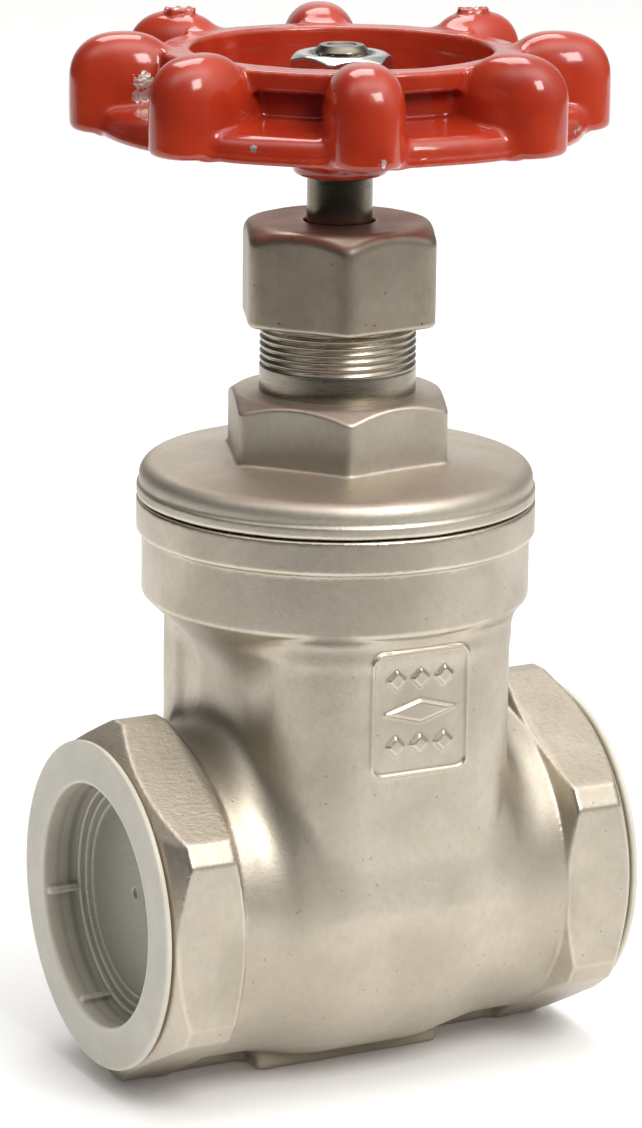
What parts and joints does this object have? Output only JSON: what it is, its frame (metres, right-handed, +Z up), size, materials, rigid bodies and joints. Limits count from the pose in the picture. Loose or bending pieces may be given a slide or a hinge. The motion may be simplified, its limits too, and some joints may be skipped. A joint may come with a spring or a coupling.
{
  "type": "threaded gate valve",
  "caption": "Stainless gate valve with hexagonal threaded pipe ends in dust caps, a screwed bonnet, a gland nut and a lobed red handwheel on a non-rising stem.",
  "frame": {"origin": "on the surface the valve stands on, straight below the stem axis", "axes": "+X along the pipe axis, +Z up along the stem axis; the cast panel faces -Y"},
  "size_m": [0.0922, 0.086, 0.181],
  "materials": {
    "cast_steel": "satin bead-blasted stainless casting",
    "turned_steel": "machined stainless",
    "gland_steel": "dull darkened stainless casting",
    "bright_steel": "polished stainless",
    "red_paint": "glossy orange-red paint on cast metal",
    "white_plastic": "milky polyethylene",
    "white_ptfe": "white PTFE"
  },
  "bodies": {
    "valve_body": {"body": "cast_steel", "bonnet": "cast_steel", "bonnet_gasket": "white_ptfe", "stem_retaining_bush": "turned_steel", "thrust_washer_lower": "white_ptfe", "thrust_washer_upper": "white_ptfe", "packing_washer": "turned_steel", "packing_ring_1": "white_ptfe", "packing_ring_2": "white_ptfe", "packing_ring_3": "white_ptfe", "packing_ring_4": "white_ptfe", "gland_follower": "turned_steel", "gland_nut": "gland_steel"},
    "spindle": {"stem": "bright_steel", "handwheel": "red_paint", "handwheel_washer": "bright_steel", "handwheel_nut": "bright_steel"},
    "gate": {"wedge": "turned_steel"},
    "cap_left": {"port_cap_left": "white_plastic"},
    "cap_right": {"port_cap_right": "white_plastic"}
  },
  "joints": [
    {"name": "handwheel_turn", "type": "hinge", "parent": "valve_body", "child": "spindle", "pos_m": [0, 0, 0.15], "axis": [0, 0, 1], "range_deg": [0, 3465]},
    {"name": "wedge_lift", "type": "slide", "parent": "valve_body", "child": "gate", "axis": [0, 0, 1], "range_m": [0, 0.0386]},
    {"name": "cap_left_pull", "type": "slide", "parent": "valve_body", "child": "cap_left", "axis": [-1, 0, 0], "range_m": [0, 0.03]},
    {"name": "cap_right_pull", "type": "slide", "parent": "valve_body", "child": "cap_right", "axis": [1, 0, 0], "range_m": [0, 0.03]}
  ],
  "couplings": [
    {"joint": "wedge_lift", "follows": "handwheel_turn", "m_per_rad": 0.00063662}
  ]
}
